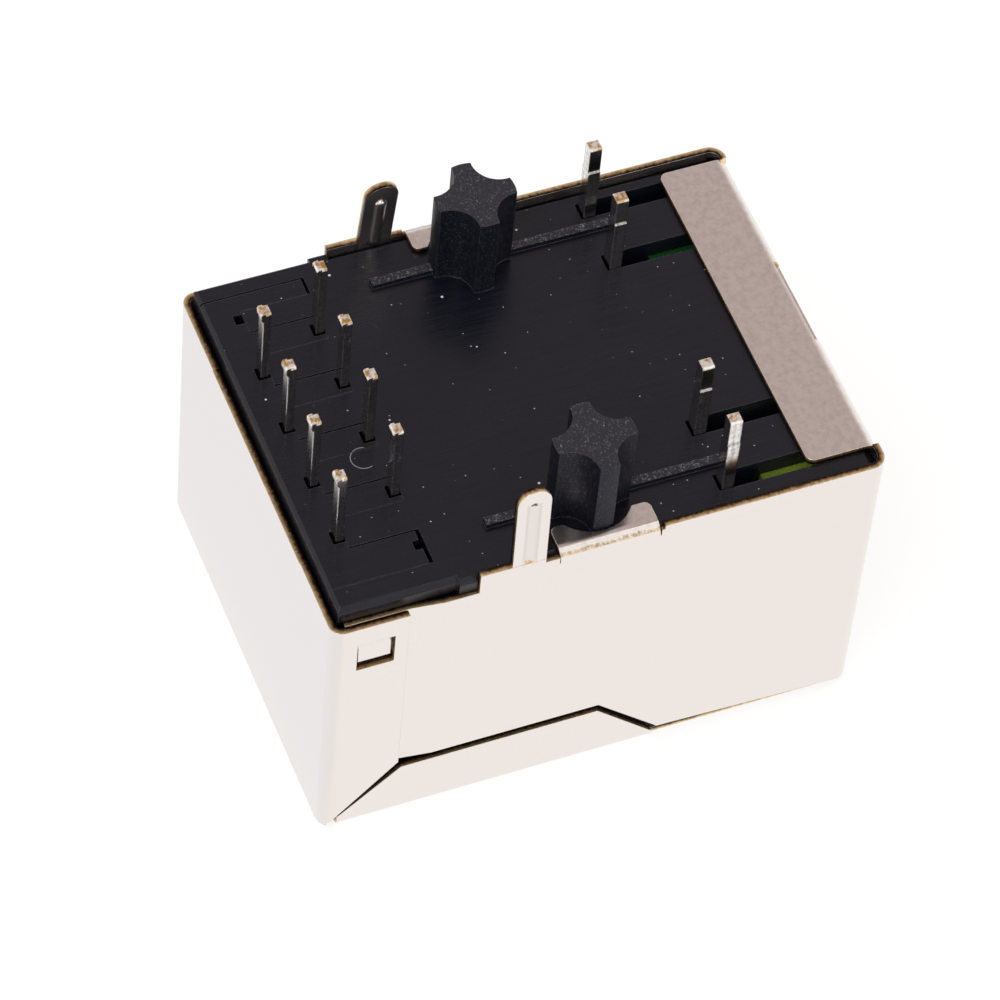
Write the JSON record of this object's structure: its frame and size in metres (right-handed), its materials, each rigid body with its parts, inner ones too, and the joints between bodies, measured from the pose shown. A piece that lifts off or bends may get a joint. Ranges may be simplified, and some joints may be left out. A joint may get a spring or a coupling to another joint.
{
  "type": "rj45 board jack",
  "caption": "Shielded modular jack for a circuit board, with built-in magnetics and LEDs, square pins, fluted locating posts and a one-piece folded metal shell.",
  "frame": {"origin": "middle of the bounding box's foot, on the outside of the top cover that the jack lies on", "axes": "+Z from the top cover to the board side, -Y out of the plug mouth, +Y to the rear panel, X across the jack"},
  "size_m": [0.016, 0.0208, 0.0171],
  "materials": {
    "plated_sheet": "nickel plated, satin",
    "black_plastic": "moulded, semi-matte",
    "board_laminate": "green solder mask",
    "tinned_wire": "tin plated, bright",
    "gold_wire": "gold plated, bright",
    "green_epoxy": "translucent",
    "yellow_epoxy": "translucent",
    "ferrite": "dark ferrite",
    "chip_ceramic": "sintered ceramic"
  },
  "bodies": {
    "root": {"shield_shell": "plated_sheet", "housing": "black_plastic", "pin_block": "black_plastic", "contact_carrier": "black_plastic", "circuit_board": "board_laminate", "signal_pin_1": "tinned_wire", "signal_pin_2": "tinned_wire", "signal_pin_3": "tinned_wire", "signal_pin_4": "tinned_wire", "signal_pin_5": "tinned_wire", "signal_pin_6": "tinned_wire", "signal_pin_7": "tinned_wire", "signal_pin_8": "tinned_wire", "contact_1": "gold_wire", "contact_2": "gold_wire", "contact_3": "gold_wire", "contact_4": "gold_wire", "contact_5": "gold_wire", "contact_6": "gold_wire", "contact_7": "gold_wire", "contact_8": "gold_wire", "led_green": "green_epoxy", "led_yellow": "yellow_epoxy", "led_lead_1": "tinned_wire", "led_lead_2": "tinned_wire", "led_lead_3": "tinned_wire", "led_lead_4": "tinned_wire", "transformer_1": "ferrite", "transformer_2": "ferrite", "transformer_3": "ferrite", "transformer_4": "ferrite", "choke_1": "ferrite", "choke_2": "ferrite", "choke_3": "ferrite", "choke_4": "ferrite", "capacitor": "chip_ceramic", "resistor_1": "chip_ceramic", "resistor_2": "chip_ceramic", "resistor_3": "chip_ceramic", "resistor_4": "chip_ceramic"}
  },
  "joints": []
}
